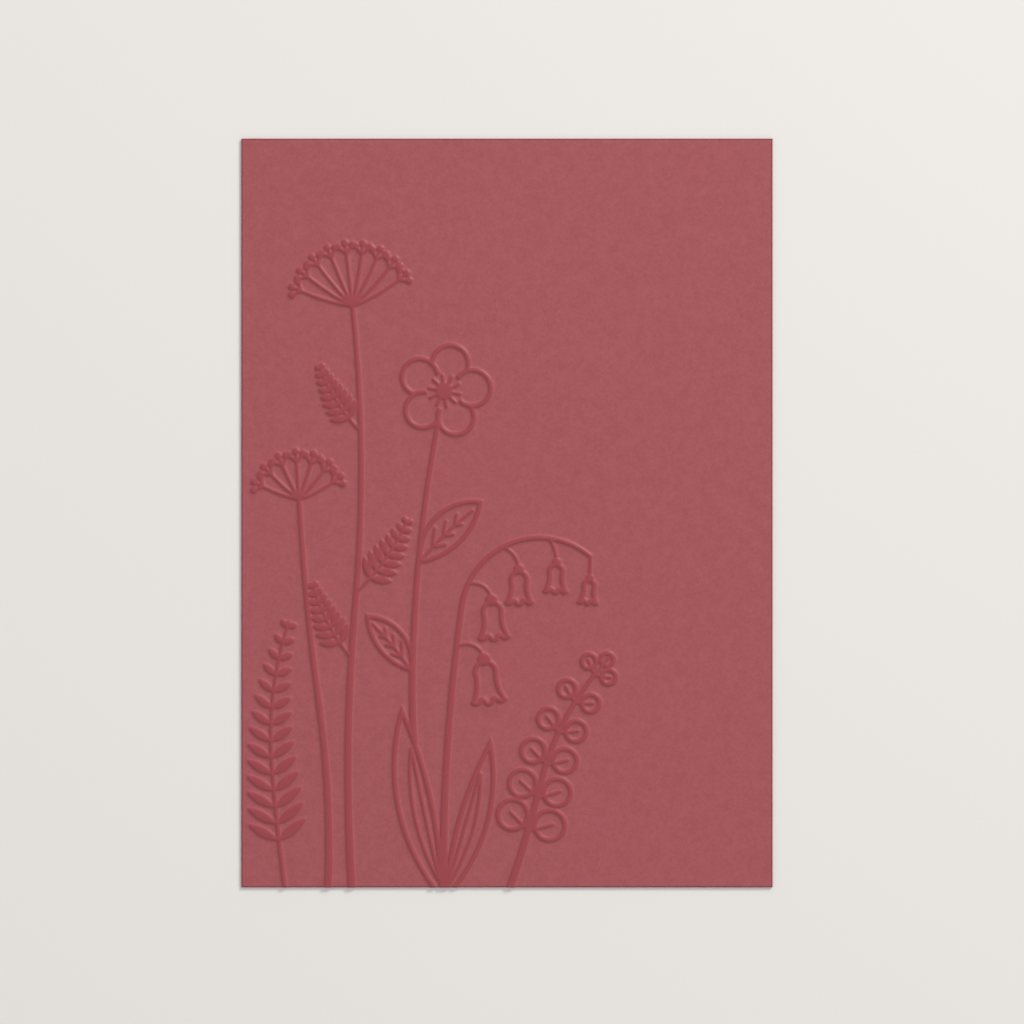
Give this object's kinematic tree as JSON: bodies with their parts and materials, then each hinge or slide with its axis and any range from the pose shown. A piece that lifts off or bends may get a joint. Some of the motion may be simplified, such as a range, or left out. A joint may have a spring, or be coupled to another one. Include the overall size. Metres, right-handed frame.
{
  "type": "postcard",
  "caption": "Flat portrait-format postcard of heavy uncoated board, cut square, with a tone-on-tone embossed meadow of line-drawn plants on the left and a blank right side.",
  "frame": {"origin": "middle of the card's underside (its back), as it lies face up", "axes": "+X along the short side to the card's right, +Y along the long side to its top edge, +Z out of the embossed front"},
  "size_m": [0.105, 0.148, 0.0008],
  "materials": {
    "board": "matte"
  },
  "bodies": {
    "root": {"postcard": "board"}
  },
  "joints": []
}
